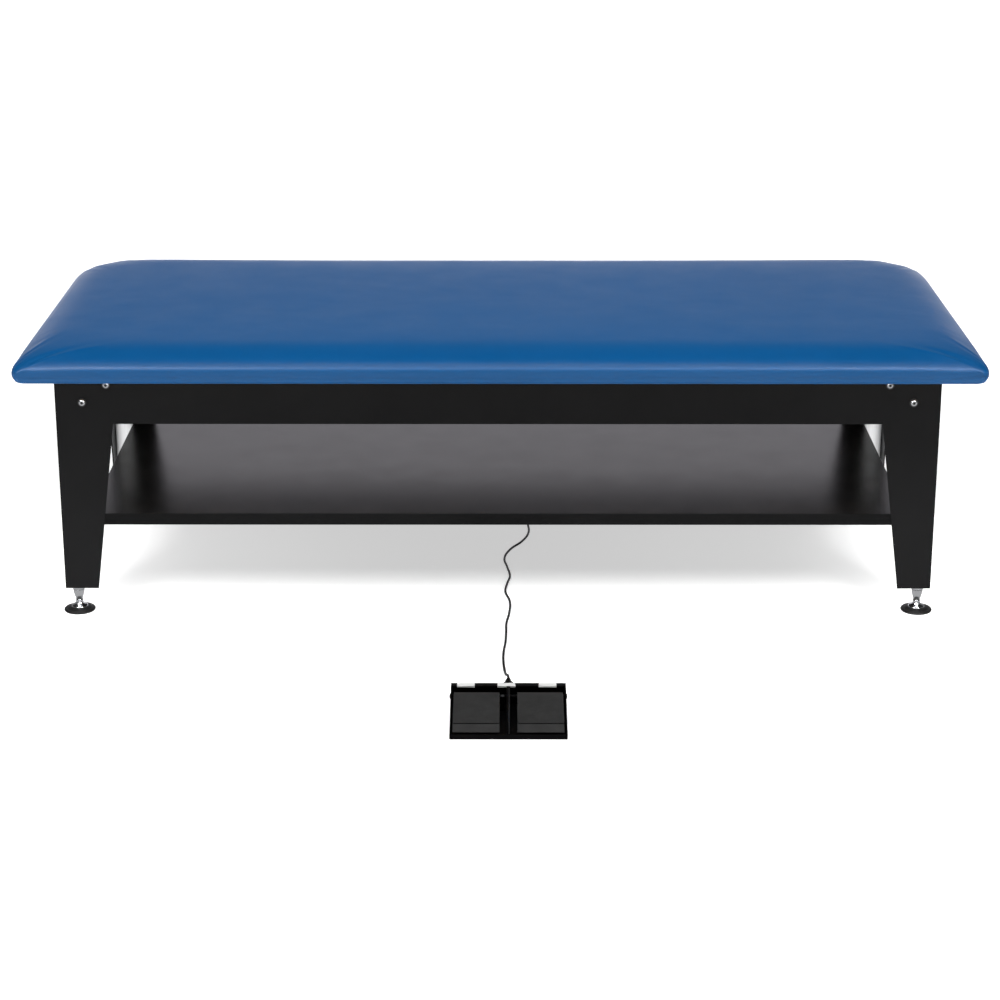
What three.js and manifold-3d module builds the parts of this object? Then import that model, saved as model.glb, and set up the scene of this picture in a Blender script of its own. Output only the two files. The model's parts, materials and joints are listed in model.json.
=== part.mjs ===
// Height-adjustable medical exam table: an upholstered top on a folded sheet-steel frame whose four
// legs each hold a linear actuator, with a storage shelf and a two-treadle foot switch on a lead.
// Millimetres, +Z up. X runs along the table, and the foot switch lies in front of it, towards -Y.
// The origin is on the floor, at the middle of the footprint of the table and its foot switch.
import * as THREE from "three";
import { mergeVertices } from "three/addons/utils/BufferGeometryUtils.js";
import Module from "manifold-3d";

// ---- driving dimensions ----
const PAD = { length: 1981, depth: 914, thickness: 58, roll: 26, corner: 60 };
const BOARD = { inset: 30, thickness: 15 };
const FRAME = { length: 1829, depth: 762, top: 524, sheet: 3, flange: 25 };
const APRON_BOTTOM = 420;
const LEG = { bottom: 57, topWidth: 118, bottomWidth: 70 };
const SHELF = { length: 1714, top: 223, lip: 25, sheet: 2, rearEdge: 300 };
const AXIS_INSET = 23.5; // an actuator's axis, in from both outer faces of its leg
const TUBE = { radius: 20, bore: 17, bushBore: 13.1, bushLength: 20, bottom: 60, top: 424 };
const ROD = { radius: 12.7, bore: 9, bottom: 48.3, top: 400, nut: 20 };
const SPINDLE = { radius: 6, bottom: 100, top: 440 };
const STEM = { thread: 8, threadTop: 78, neck: 7.5, neckTop: 27, neckBottom: 21 };
const DISH = { radius: 17.5, height: 3 }; // the foot of a levelling stem
const FOOT_PAD = { radius: 33, height: 9 };
const GEARBOX = { width: 56, depth: 44, top: 516.4, collar: 12, offX: 1, offY: 7 };
const MOTOR = { radius: 21, length: 104, cap: 7, z: 466 };
const LOOM = { y: 180, half: 4 };
const BRACKET = { sheet: 4, reach: 119, bottom: 440 };
const BOLT = { head: 7, headHeight: 4, shank: 3.5, socket: 2.3 };
const BOLT_PLATE = { thickness: 5, width: 14, beyond: 9 }; // the tapped plate behind a corner's two bolts
const BOLT_PLACES = [
  [107, 504],
  [56, 466],
]; // in from the frame's end, and above the floor
const SHELF_BRACKET = { thickness: 5, lap: 22, depth: 72, strip: 28 }; // lap under the shelf's edge
const RAIL = { x: 480, width: 60, height: 24, sheet: 3 };
const BOX = { x: 100, length: 180, rear: 345, front: 200, bottom: 440, top: 500, wall: 3 };
const LID = { ear: 12, spacer: 8 };
const SWITCH = { x: 21.5, width: 222, front: -1034, rear: -867, back: 45, lip: 10 };
const FOLD = { wall: 2.5, hood: 16, rib: 3.5 }; // the foot switch's sheet, hood depth and half rib width
const TREADLE = { width: 88, gap: 34, sheet: 2.5, pivot: [-897, 30], nose: [-1014, 22], toe: [-1026, 12] };
const CURL = { radius: 5.5, window: 24 }; // a treadle's rolled rear edge, and its opening for the spring
const PIN = 3;
const SPRING = { wire: 0.8, turns: 3, pitch: 2.2, steps: 10 };
const LEAD = { radius: 2.5, sides: 8 };
const COIL = { x: 100, y: 262, radius: 27.5, half: 7.5, height: 10 };
const GAP = 0.3; // between pieces that touch
const LAP = 1; // how far two solids that become one run into each other
const PAST = 5; // how far a cutter runs past what it cuts

// The table's middle, in from the origin, which is the middle of the whole footprint.
const TABLE_Y = (-SWITCH.front - PAD.depth / 2) / 2;
const HALF_LENGTH = FRAME.length / 2;
const HALF_DEPTH = FRAME.depth / 2;
const INNER_X = HALF_LENGTH - FRAME.sheet;
const INNER_Y = HALF_DEPTH - FRAME.sheet;
const AXIS_X = HALF_LENGTH - AXIS_INSET;
const AXIS_Y = HALF_DEPTH - AXIS_INSET;
const ENDS = [
  ["left", -1],
  ["right", 1],
];
const SIDES = [
  ["front", -1],
  ["rear", 1],
];
const CORNERS = SIDES.flatMap(([side, sy]) =>
  ENDS.map(([end, sx]) => ({ name: `${side}_${end}`, sx, sy })),
);

const wasm = await Module();
wasm.setup();

const table = new THREE.Group(); // holds the table and its foot switch, with the table's middle at y = 0
table.position.y = TABLE_Y;

// ---- materials ----
function paint(color, roughness, metalness = 0) {
  return new THREE.MeshStandardMaterial({ color, roughness, metalness });
}

const MATERIALS = {
  vinyl: paint(0x2c5c93, 0.45),
  wood: paint(0xb98d5c, 0.75),
  blackSteel: paint(0x1c1c1d, 0.4, 0.3),
  zinc: paint(0x9a9c9e, 0.4, 0.9),
  aluminium: paint(0xb9bcbf, 0.35, 0.9),
  chrome: paint(0xd8dade, 0.1, 1),
  rubber: paint(0x141414, 0.8),
  plastic: paint(0x1b1b1c, 0.5),
  motor: paint(0x3a3c3f, 0.5, 0.6),
};

// ---- solids ----
function solid(geometry) {
  const bare = new THREE.BufferGeometry();
  bare.setAttribute("position", geometry.getAttribute("position"));
  if (geometry.index) bare.setIndex(geometry.index);
  const merged = mergeVertices(bare, 1e-4);
  return new wasm.Manifold(
    new wasm.Mesh({
      numProp: 3,
      vertProperties: new Float32Array(merged.attributes.position.array),
      triVerts: new Uint32Array(merged.index.array),
    }),
  );
}

function geometryOf(made) {
  const { vertProperties, triVerts } = made.getMesh();
  const geometry = new THREE.BufferGeometry();
  geometry.setAttribute("position", new THREE.BufferAttribute(vertProperties, 3));
  geometry.setIndex(new THREE.BufferAttribute(triVerts, 1));
  const faceted = geometry.toNonIndexed();
  faceted.computeVertexNormals();
  return faceted;
}

const union = (solids) => solids.reduce((all, one) => all.add(one));

function place(name, material, shape) {
  const geometry = shape.isBufferGeometry ? shape : geometryOf(shape);
  const mesh = new THREE.Mesh(geometry, material);
  mesh.name = name;
  table.add(mesh);
}

// A block between two x, two y and two z, each pair in either order.
function block(x, y, z) {
  const size = [x, y, z].map(([a, b]) => Math.abs(b - a));
  const middle = [x, y, z].map(([a, b]) => (a + b) / 2);
  return solid(new THREE.BoxGeometry(...size).translate(...middle));
}

// A cylinder along Z, turned to lie along X or Y when asked.
function rod(radius, from, to, [u, v], along = "z", segments = 20) {
  const geometry = new THREE.CylinderGeometry(radius, radius, Math.abs(to - from), segments);
  const middle = (from + to) / 2;
  if (along === "x") geometry.rotateZ(Math.PI / 2).translate(middle, u, v);
  if (along === "y") geometry.translate(u, middle, v);
  if (along === "z") geometry.rotateX(Math.PI / 2).translate(u, v, middle);
  return solid(geometry);
}

// A solid of revolution about a vertical axis through x, y. The profile lists [radius, z].
function turned(profile, x, y, segments = 20) {
  const points = profile.map(([radius, z]) => new THREE.Vector2(radius, z));
  return new THREE.LatheGeometry(points, segments).rotateX(Math.PI / 2).translate(x, y, 0);
}

function extruded(points, depth) {
  const shape = new THREE.Shape(points.map(([u, v]) => new THREE.Vector2(u, v)));
  return new THREE.ExtrudeGeometry(shape, { depth, bevelEnabled: false });
}

// An outline in X and Z, made thick along Y.
function uprightX(points, y0, y1) {
  const geometry = extruded(points, Math.abs(y1 - y0));
  return solid(geometry.rotateX(Math.PI / 2).translate(0, Math.max(y0, y1), 0));
}

// An outline in Y and Z, made thick along X.
function uprightY(points, x0, x1) {
  const geometry = extruded(points, Math.abs(x1 - x0));
  return solid(geometry.rotateX(Math.PI / 2).rotateZ(Math.PI / 2).translate(Math.min(x0, x1), 0, 0));
}

function roundedRectangle(length, depth, radius) {
  const [x, y] = [length / 2, depth / 2];
  const shape = new THREE.Shape();
  shape.moveTo(-x + radius, -y);
  shape.lineTo(x - radius, -y);
  shape.absarc(x - radius, -y + radius, radius, -Math.PI / 2, 0);
  shape.lineTo(x, y - radius);
  shape.absarc(x - radius, y - radius, radius, 0, Math.PI / 2);
  shape.lineTo(-x + radius, y);
  shape.absarc(-x + radius, y - radius, radius, Math.PI / 2, Math.PI);
  shape.lineTo(-x, -y + radius);
  shape.absarc(-x + radius, -y + radius, radius, Math.PI, Math.PI * 1.5);
  return shape;
}

// ---- the upholstered top ----
function makeCushion() {
  const { length, depth, thickness, roll, corner } = PAD;
  const shape = roundedRectangle(length - 2 * roll, depth - 2 * roll, corner - roll);
  const geometry = new THREE.ExtrudeGeometry(shape, {
    depth: thickness - 2 * roll,
    bevelThickness: roll,
    bevelSize: roll,
    bevelSegments: 3,
    curveSegments: 3,
  });
  const bottom = FRAME.top + GAP;
  const whole = solid(geometry.translate(0, 0, bottom + roll));
  const pocketX = length / 2 - BOARD.inset;
  const pocketY = depth / 2 - BOARD.inset;
  const pocketZ = [bottom - PAST, bottom + BOARD.thickness + GAP];
  const pocket = block([-pocketX, pocketX], [-pocketY, pocketY], pocketZ);
  place("cushion", MATERIALS.vinyl, whole.subtract(pocket));
}

function makeTopBoard() {
  const x = PAD.length / 2 - BOARD.inset - GAP;
  const y = PAD.depth / 2 - BOARD.inset - GAP;
  const bottom = FRAME.top + GAP;
  place("top_board", MATERIALS.wood, block([-x, x], [-y, y], [bottom, bottom + BOARD.thickness]));
}

// ---- the four folded panels ----
// An apron with a tapered leg at each end, as [along, height] points. half is half the panel's length
// and corner is half the frame's, from which the legs' widths are measured.
function panelOutline(half, corner) {
  return [
    [-half, LEG.bottom],
    [LEG.bottomWidth - corner, LEG.bottom],
    [LEG.topWidth - corner, APRON_BOTTOM],
    [corner - LEG.topWidth, APRON_BOTTOM],
    [corner - LEG.bottomWidth, LEG.bottom],
    [half, LEG.bottom],
    [half, FRAME.top],
    [-half, FRAME.top],
  ];
}

function boltHoles(sy) {
  const holes = ENDS.flatMap(([, sx]) =>
    BOLT_PLACES.map(([inset, z]) => {
      const x = sx * (HALF_LENGTH - inset);
      const inside = INNER_Y - BRACKET.sheet - PAST;
      return rod(BOLT.shank + 2 * GAP, sy * inside, sy * (HALF_DEPTH + PAST), [x, z], "y", 10);
    }),
  );
  return union(holes);
}

function makeLongPanels() {
  for (const [side, sy] of SIDES) {
    const sheet = uprightX(panelOutline(HALF_LENGTH, HALF_LENGTH), sy * INNER_Y, sy * HALF_DEPTH);
    const flangeY = [sy * (INNER_Y - FRAME.flange), sy * (INNER_Y + LAP)];
    const top = block([-INNER_X + GAP, INNER_X - GAP], flangeY, [FRAME.top - FRAME.sheet, FRAME.top]);
    const reach = HALF_LENGTH - LEG.topWidth;
    const bottom = block([-reach, reach], flangeY, [APRON_BOTTOM, APRON_BOTTOM + FRAME.sheet]);
    place(`${side}_panel`, MATERIALS.blackSteel, union([sheet, top, bottom]).subtract(boltHoles(sy)));
  }
}

function makeEndPanels() {
  const half = INNER_Y - GAP;
  for (const [end, sx] of ENDS) {
    const sheet = uprightY(panelOutline(half, HALF_DEPTH), sx * INNER_X, sx * HALF_LENGTH);
    const flangeX = [sx * (INNER_X - FRAME.flange), sx * (INNER_X + LAP)];
    const clear = INNER_Y - FRAME.flange - GAP;
    const top = block(flangeX, [-clear, clear], [FRAME.top - FRAME.sheet, FRAME.top]);
    const reach = HALF_DEPTH - LEG.topWidth;
    const bottom = block(flangeX, [-reach, reach], [APRON_BOTTOM, APRON_BOTTOM + FRAME.sheet]);
    place(`${end}_end_panel`, MATERIALS.blackSteel, union([sheet, top, bottom]));
  }
}

// ---- corner brackets, and the bolts that hold the long panels to them ----
function makeCornerBracket({ name, sx, sy }) {
  const top = FRAME.top - FRAME.sheet - GAP;
  const x = [sx * (INNER_X - GAP), sx * (INNER_X - BRACKET.reach)];
  const y = [sy * (INNER_Y - GAP), sy * (INNER_Y - BRACKET.reach)];
  const t = BRACKET.sheet;
  const longSide = block(x, [y[0], y[0] - sy * t], [BRACKET.bottom, top]);
  const endSide = block([x[0], x[0] - sx * t], y, [BRACKET.bottom, top]);
  const web = block(x, y, [top - t, top]);
  place(`${name}_bracket`, MATERIALS.zinc, union([longSide, endSide, web]).subtract(boltHoles(sy)));
}

// Two button-head screws and the tapped plate that they pull up against the bracket.
function makeBolts({ name, sx, sy }) {
  const face = sy * (HALF_DEPTH + GAP);
  const behind = sy * (INNER_Y - 2 * GAP - BRACKET.sheet);
  const plateBack = behind - sy * BOLT_PLATE.thickness;
  const centres = BOLT_PLACES.map(([inset, z]) => [sx * (HALF_LENGTH - inset), z]);
  const screws = centres.map((centre) => {
    const shank = rod(BOLT.shank, face, behind - sy * LAP, centre, "y", 10);
    const collar = rod(BOLT.head, face, face + (sy * BOLT.headHeight) / 2, centre, "y", 16);
    const dome = rod(BOLT.head * 0.72, face, face + sy * BOLT.headHeight, centre, "y", 16);
    const socket = rod(BOLT.socket, face + sy, face + sy * (BOLT.headHeight + PAST), centre, "y", 6);
    return union([shank, collar, dome]).subtract(socket);
  });
  const [[x0, z0], [x1, z1]] = centres;
  const turn = Math.atan2(z1 - z0, x1 - x0);
  const stripLength = Math.hypot(x1 - x0, z1 - z0) + 2 * BOLT_PLATE.beyond;
  const strip = new THREE.BoxGeometry(stripLength, BOLT_PLATE.thickness, BOLT_PLATE.width);
  strip.rotateY(-turn).translate((x0 + x1) / 2, (behind + plateBack) / 2, (z0 + z1) / 2);
  place(`${name}_bolts`, MATERIALS.chrome, union([...screws, solid(strip)]));
}

// ---- one leg's actuator: gearmotor, spindle, outer tube, rod and levelling foot ----
const GEARBOX_X = INNER_X - BRACKET.sheet - GEARBOX.offX;
const GEARBOX_Y = INNER_Y - BRACKET.sheet - GEARBOX.offY;
const SPINDLE_BORE = SPINDLE.radius + 2 * GAP;

function makeActuator({ name, sx, sy }) {
  const [x, y] = [sx * AXIS_X, sy * AXIS_Y];

  const tube = [
    [TUBE.bushBore, TUBE.bottom],
    [TUBE.radius, TUBE.bottom],
    [TUBE.radius, TUBE.top],
    [TUBE.bore, TUBE.top],
    [TUBE.bore, TUBE.bottom + TUBE.bushLength],
    [TUBE.bushBore, TUBE.bottom + TUBE.bushLength],
    [TUBE.bushBore, TUBE.bottom],
  ];
  place(`${name}_tube`, MATERIALS.aluminium, turned(tube, x, y, 20));

  const web = [STEM.threadTop + 6, STEM.threadTop + 14];
  const inner = [
    [0, web[0]],
    [STEM.thread + GAP, web[0]],
    [STEM.thread + GAP, ROD.bottom],
    [ROD.radius, ROD.bottom],
    [ROD.radius, ROD.top],
    [SPINDLE_BORE, ROD.top],
    [SPINDLE_BORE, ROD.top - ROD.nut],
    [ROD.bore, ROD.top - ROD.nut],
    [ROD.bore, web[1]],
    [0, web[1]],
  ];
  place(`${name}_rod`, MATERIALS.chrome, turned(inner, x, y, 20));

  const collarTop = TUBE.top + GEARBOX.collar;
  const boxX = [sx * GEARBOX_X, sx * (GEARBOX_X - GEARBOX.width)];
  const boxY = [sy * GEARBOX_Y, sy * (GEARBOX_Y - GEARBOX.depth)];
  const motorY = (boxY[0] + boxY[1]) / 2;
  const gearbox = block(boxX, boxY, [collarTop - LAP, GEARBOX.top]);
  const collar = rod(TUBE.radius, TUBE.top + GAP, collarTop, [x, y]);
  const canEnd = boxX[1] - sx * MOTOR.length;
  const can = rod(MOTOR.radius, boxX[1] + sx * LAP, canEnd, [motorY, MOTOR.z], "x");
  const cap = rod(MOTOR.radius / 2, boxX[1], canEnd - sx * MOTOR.cap, [motorY, MOTOR.z], "x", 12);
  const socket = rod(SPINDLE_BORE, TUBE.top - PAST, SPINDLE.top + 1, [x, y], "z", 16);
  place(`${name}_gearmotor`, MATERIALS.motor, union([gearbox, collar, can, cap]).subtract(socket));

  const spindle = rod(SPINDLE.radius, SPINDLE.bottom, SPINDLE.top, [x, y], "z", 16);
  place(`${name}_spindle`, MATERIALS.zinc, spindle);

  const stem = [
    [0, FOOT_PAD.height + GAP],
    [DISH.radius, FOOT_PAD.height + GAP],
    [DISH.radius - 1, FOOT_PAD.height + DISH.height],
    [STEM.neck + 1.5, (FOOT_PAD.height + DISH.height + STEM.neckBottom) / 2],
    [STEM.neck, STEM.neckBottom],
    [STEM.neck, STEM.neckTop],
    [ROD.radius - 2 * GAP, ROD.bottom - 4],
    [ROD.radius - 2 * GAP, ROD.bottom - GAP],
    [STEM.thread, ROD.bottom - GAP],
    [STEM.thread, STEM.threadTop],
    [0, STEM.threadTop],
  ];
  place(`${name}_levelling_stem`, MATERIALS.chrome, turned(stem, x, y));

  const pad = [
    [0, 0],
    [FOOT_PAD.radius - 1.5, 0],
    [FOOT_PAD.radius, 2.5],
    [FOOT_PAD.radius - 2.5, 5.5],
    [DISH.radius + 4, FOOT_PAD.height],
    [0, FOOT_PAD.height],
  ];
  place(`${name}_foot_pad`, MATERIALS.rubber, turned(pad, x, y));
}

// ---- the shelf, and the brackets that clamp each tube and carry a corner of the shelf ----
const SHELF_FRONT = -(INNER_Y - 2 * GAP);

function makeShelf() {
  const half = SHELF.length / 2;
  const { top, lip, sheet, rearEdge } = SHELF;
  const outer = block([-half, half], [SHELF_FRONT, rearEdge], [top - lip, top]);
  const insideY = [SHELF_FRONT + sheet, rearEdge - sheet];
  const under = block([sheet - half, half - sheet], insideY, [0, top - sheet]);
  place("shelf", MATERIALS.blackSteel, outer.subtract(under));
}

function makeShelfBracket({ name, sx, sy }) {
  const { thickness, lap, depth } = SHELF_BRACKET;
  const plateTop = SHELF.top - SHELF.lip - GAP;
  const x = [sx * (INNER_X - GAP), sx * (SHELF.length / 2 - lap)];
  const inboardY = sy < 0 ? INNER_Y - depth : SHELF.rearEdge - lap;
  const y = [sy * (INNER_Y - GAP), sy * inboardY];
  const cut = [plateTop - thickness - PAST, plateTop + PAST];
  const plate = block(x, y, [plateTop - thickness, plateTop]);
  const collar = rod(TUBE.radius + GAP, ...cut, [sx * AXIS_X, sy * AXIS_Y]);
  const corner = block([sx * AXIS_X, sx * HALF_LENGTH], [sy * AXIS_Y, sy * HALF_DEPTH], cut);
  let bracket = plate.subtract(collar).subtract(corner);
  if (sy > 0) {
    // a rear bracket is a narrow strip as far as the tube, which it clamps from behind
    const stripX = SHELF.length / 2 - lap + SHELF_BRACKET.strip;
    bracket = bracket.subtract(block([sx * stripX, sx * HALF_LENGTH], [0, AXIS_Y], cut));
  }
  place(`${name}_shelf_bracket`, MATERIALS.blackSteel, bracket);
}

// ---- channel rails across the frame, under the board ----
function makeCrossRails() {
  const top = FRAME.top - FRAME.sheet - GAP;
  for (const [end, sx] of ENDS) {
    const [a, b] = [sx * RAIL.x - RAIL.width / 2, sx * RAIL.x + RAIL.width / 2];
    const reach = INNER_Y - GAP;
    const outer = block([a, b], [-reach, reach], [top - RAIL.height, top]);
    const insideX = [a + RAIL.sheet, b - RAIL.sheet];
    const under = block(insideX, [-reach - PAST, reach + PAST], [0, top - RAIL.sheet]);
    place(`${end}_cross_rail`, MATERIALS.blackSteel, outer.subtract(under));
  }
}

// ---- the control box under the board, its power inlet and the foot switch lead's gland ----
const BOX_X = [BOX.x - BOX.length / 2, BOX.x + BOX.length / 2];
const GLAND = { x: BOX.x + 45, y: BOX.rear - 20, radius: 8, tip: 4.5, length: 26, nut: 8 };
const INLET = { x: BOX.x - 55, y: BOX.front + 45, length: 28, depth: 22, reach: 12, wall: 3 };

// A block of the inlet's outline, drawn in by a margin, between two heights.
function inletBlock(margin, z) {
  const [x, y] = [INLET.length / 2 - margin, INLET.depth / 2 - margin];
  return block([INLET.x - x, INLET.x + x], [INLET.y - y, INLET.y + y], z);
}

function makeControlBox() {
  const { wall, front, rear, bottom, top } = BOX;
  const shell = block(BOX_X, [front, rear], [bottom, top]);
  const insideX = [BOX_X[0] + wall, BOX_X[1] - wall];
  const hollow = block(insideX, [front + wall, rear - wall], [bottom + wall, top + PAST]);
  const through = [bottom - PAST, bottom + wall + PAST];
  const glandHole = rod(GLAND.tip, ...through, [GLAND.x, GLAND.y], "z", 16);
  const inletHole = inletBlock(INLET.wall + LAP, through);
  place("control_box", MATERIALS.plastic, shell.subtract(hollow).subtract(glandHole).subtract(inletHole));

  const [left, right] = [BOX_X[0] - LID.ear, BOX_X[1] + LID.ear];
  const lid = block([left, right], [front, rear], [top + GAP, top + GAP + wall]);
  const spacers = [left, right - 2 * LID.spacer].map((x) =>
    block([x, x + 2 * LID.spacer], [front, rear], [top + GAP, FRAME.top]),
  );
  place("control_box_lid", MATERIALS.plastic, union([lid, ...spacers]));
}

function makeInlet() {
  const outer = inletBlock(0, [BOX.bottom - GAP, BOX.bottom - INLET.reach]);
  const mouth = inletBlock(INLET.wall, [BOX.bottom - INLET.wall, BOX.bottom - INLET.reach - PAST]);
  place("power_inlet", MATERIALS.plastic, outer.subtract(mouth));
}

function makeGland() {
  const top = BOX.bottom - GAP;
  const profile = [
    [0, top - GLAND.length],
    [GLAND.tip, top - GLAND.length],
    [GLAND.radius, top - GLAND.nut],
    [GLAND.radius, top],
    [0, top],
  ];
  place("lead_gland", MATERIALS.rubber, turned(profile, GLAND.x, GLAND.y, 16));
}

// ---- the wiring loom: one flat run from the control box to the end of each motor ----
function makeMotorLoom() {
  const { y, half } = LOOM;
  const outer = GEARBOX_X - GEARBOX.width - MOTOR.length - MOTOR.cap - GAP;
  const inner = outer - 2 * half;
  const reach = GEARBOX_Y - GEARBOX.depth / 2;
  const plan = [
    [-outer, -reach],
    [-inner, -reach],
    [-inner, y - half],
    [inner, y - half],
    [inner, -reach],
    [outer, -reach],
    [outer, reach],
    [inner, reach],
    [inner, y + half],
    [BOX.x + half, y + half],
    [BOX.x + half, BOX.front - GAP],
    [BOX.x - half, BOX.front - GAP],
    [BOX.x - half, y + half],
    [-inner, y + half],
    [-inner, reach],
    [-outer, reach],
  ];
  const loom = extruded(plan, 2 * half).translate(0, 0, MOTOR.z - half);
  place("motor_loom", MATERIALS.rubber, solid(loom));
}

// ---- the foot switch: folded base, hinge pin, two treadles with their springs, strain relief ----
const SWITCH_X = [SWITCH.x - SWITCH.width / 2, SWITCH.x + SWITCH.width / 2];

function wedge(x0, x1) {
  const { front, rear, back, lip } = SWITCH;
  return uprightY(
    [
      [front, 0],
      [rear, 0],
      [rear, back],
      [rear - FOLD.hood, back],
      [front, lip],
    ],
    x0,
    x1,
  );
}

function makeSwitchBase() {
  const { front, rear, back, lip } = SWITCH;
  const { wall, rib: halfRib } = FOLD;
  const floor = block(SWITCH_X, [front, rear], [0, wall]);
  const rearWall = block(SWITCH_X, [rear - wall, rear], [0, back]);
  const hood = block(SWITCH_X, [rear - FOLD.hood, rear], [back - wall, back]);
  const frontLip = block(SWITCH_X, [front, front + wall], [0, lip]);
  const left = wedge(SWITCH_X[0], SWITCH_X[0] + wall);
  const right = wedge(SWITCH_X[1] - wall, SWITCH_X[1]);
  const rib = wedge(SWITCH.x - halfRib, SWITCH.x + halfRib);
  const bore = rod(PIN + GAP, SWITCH_X[0] - PAST, SWITCH_X[1] + PAST, TREADLE.pivot, "x", 16);
  const folded = union([floor, rearWall, hood, frontLip, left, right, rib]);
  place("switch_base", MATERIALS.plastic, folded.subtract(bore));
}

function makeHingePin() {
  place("hinge_pin", MATERIALS.zinc, rod(PIN, ...SWITCH_X, TREADLE.pivot, "x", 16));
}

function makeTreadles() {
  const { width, gap, sheet, pivot, nose, toe } = TREADLE;
  const [py, pz] = pivot;
  const side = [
    [py, pz + CURL.radius - 0.1],
    [py, pz + CURL.radius + sheet],
    [nose[0], nose[1] + sheet],
    [toe[0] - sheet * 0.6, toe[1]],
    [toe[0], toe[1] - sheet * 0.4],
    [nose[0] + sheet * 0.8, nose[1]],
  ];
  const near = gap / 2;
  for (const [end, sx] of ENDS) {
    const a = SWITCH.x + sx * near;
    const b = SWITCH.x + sx * (near + width);
    const middle = (a + b) / 2;
    const plate = uprightY(side, a, b);
    const curl = rod(CURL.radius, a, b, pivot, "x", 16);
    const bore = rod(PIN + GAP, a - sx * PAST, b + sx * PAST, pivot, "x", 16);
    const windowX = [middle - CURL.window / 2, middle + CURL.window / 2];
    const windowY = [py + CURL.radius + PAST, py - CURL.radius - PAST];
    const windowZ = [pz - CURL.radius - PAST, pz + CURL.radius - 0.1];
    const window = block(windowX, windowY, windowZ);
    const treadle = union([plate, curl]).subtract(bore).subtract(window);
    place(`${end}_treadle`, MATERIALS.plastic, treadle);
    makeTreadleSpring(`${end}_treadle_spring`, middle);
  }
}

// A torsion spring wound round the hinge pin.
function makeTreadleSpring(name, middle) {
  const { wire, turns, pitch } = SPRING;
  const radius = PIN + 2 * GAP + wire;
  const steps = turns * SPRING.steps;
  const points = [];
  for (let i = 0; i <= steps; i += 1) {
    const angle = (i / SPRING.steps) * Math.PI * 2;
    const x = middle + (i / steps - 0.5) * turns * pitch;
    const [y, z] = [radius * Math.cos(angle), radius * Math.sin(angle)];
    points.push(new THREE.Vector3(x, TREADLE.pivot[0] + y, TREADLE.pivot[1] + z));
  }
  place(name, MATERIALS.zinc, tubeAlong(points, wire, 5, steps));
}

function makeStrainRelief() {
  const { y, z, base, baseLength, tip, length } = RELIEF;
  const profile = [
    [0, 0],
    [base, 0],
    [base, baseLength],
    [tip, length],
    [0, length],
  ];
  const points = profile.map(([radius, along]) => new THREE.Vector2(radius, along));
  const geometry = new THREE.LatheGeometry(points, 16).translate(SWITCH.x, y, z);
  place("switch_strain_relief", MATERIALS.rubber, geometry);
}

// ---- the foot switch lead ----
const RELIEF = { y: SWITCH.rear + GAP, z: 34, base: 8, baseLength: 10, tip: 4, length: 45 };
const LEAD_Z = LEAD.radius + GAP; // the lead's axis where it lies on the floor
const BESIDE_COIL = COIL.radius + COIL.half + LEAD.radius + 2 * GAP;

// From the strain relief to the coil: over the back of the switch, down to the floor, and under the table.
const FLOOR_ROUTE = [
  [21.5, RELIEF.y + RELIEF.length + GAP, RELIEF.z],
  [21.2, -806, 33],
  [20, -782, 26],
  [18.5, -757, 16],
  [16.5, -732, 7.5],
  [14.5, -705, 3.2],
  [12, -660, LEAD_Z],
  [12, -610, LEAD_Z],
  [16, -550, LEAD_Z],
  [17.5, -495, LEAD_Z],
  [18, -445, LEAD_Z],
  [24, -385, LEAD_Z],
  [25.5, -315, LEAD_Z],
  [16, -255, LEAD_Z],
  [20, -205, LEAD_Z],
  [26, -160, LEAD_Z],
  [20, -100, LEAD_Z],
  [14, -45, LEAD_Z],
  [27, 15, LEAD_Z],
  [54, 70, LEAD_Z],
  [69, 125, LEAD_Z],
  [69, 185, LEAD_Z],
  [COIL.x - BESIDE_COIL, COIL.y, LEAD_Z],
];
// From the gland straight down behind the shelf, and round onto the floor beside the coil.
const DROP_ROUTE = [
  [GLAND.x, GLAND.y, BOX.bottom - GLAND.length - 2 * GAP],
  [GLAND.x, GLAND.y, 330],
  [GLAND.x, GLAND.y, 240],
  [GLAND.x, GLAND.y, 150],
  [GLAND.x, GLAND.y, 75],
  [GLAND.x - 1, GLAND.y - 1, 38],
  [GLAND.x - 7, GLAND.y - 4, 15],
  [GLAND.x - 19, GLAND.y - 11, 4.5],
  [GLAND.x - 33, GLAND.y - 21, LEAD_Z],
  [COIL.x - 4, COIL.y + BESIDE_COIL, LEAD_Z],
];

function tubeAlong(points, radius, sides, steps) {
  const section = new THREE.Shape();
  for (let i = 0; i < sides; i += 1) {
    const angle = (i / sides) * Math.PI * 2;
    const [u, v] = [radius * Math.cos(angle), radius * Math.sin(angle)];
    if (i) section.lineTo(u, v);
    else section.moveTo(u, v);
  }
  const extrudePath = new THREE.CatmullRomCurve3(points, false, "centripetal");
  return solid(new THREE.ExtrudeGeometry(section, { steps, extrudePath }));
}

const asVectors = (route) => route.map(([x, y, z]) => new THREE.Vector3(x, y, z));

function makeLead() {
  place("lead_floor_run", MATERIALS.rubber, tubeAlong(asVectors(FLOOR_ROUTE), LEAD.radius, LEAD.sides, 76));
  place("lead_drop", MATERIALS.rubber, tubeAlong(asVectors(DROP_ROUTE), LEAD.radius, LEAD.sides, 32));
  const [inner, outer] = [COIL.radius - COIL.half, COIL.radius + COIL.half];
  const ring = [
    [inner, GAP],
    [outer, GAP],
    [outer, GAP + COIL.height],
    [inner, GAP + COIL.height],
    [inner, GAP],
  ];
  place("lead_coil", MATERIALS.rubber, turned(ring, COIL.x, COIL.y, 24));
}

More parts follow.
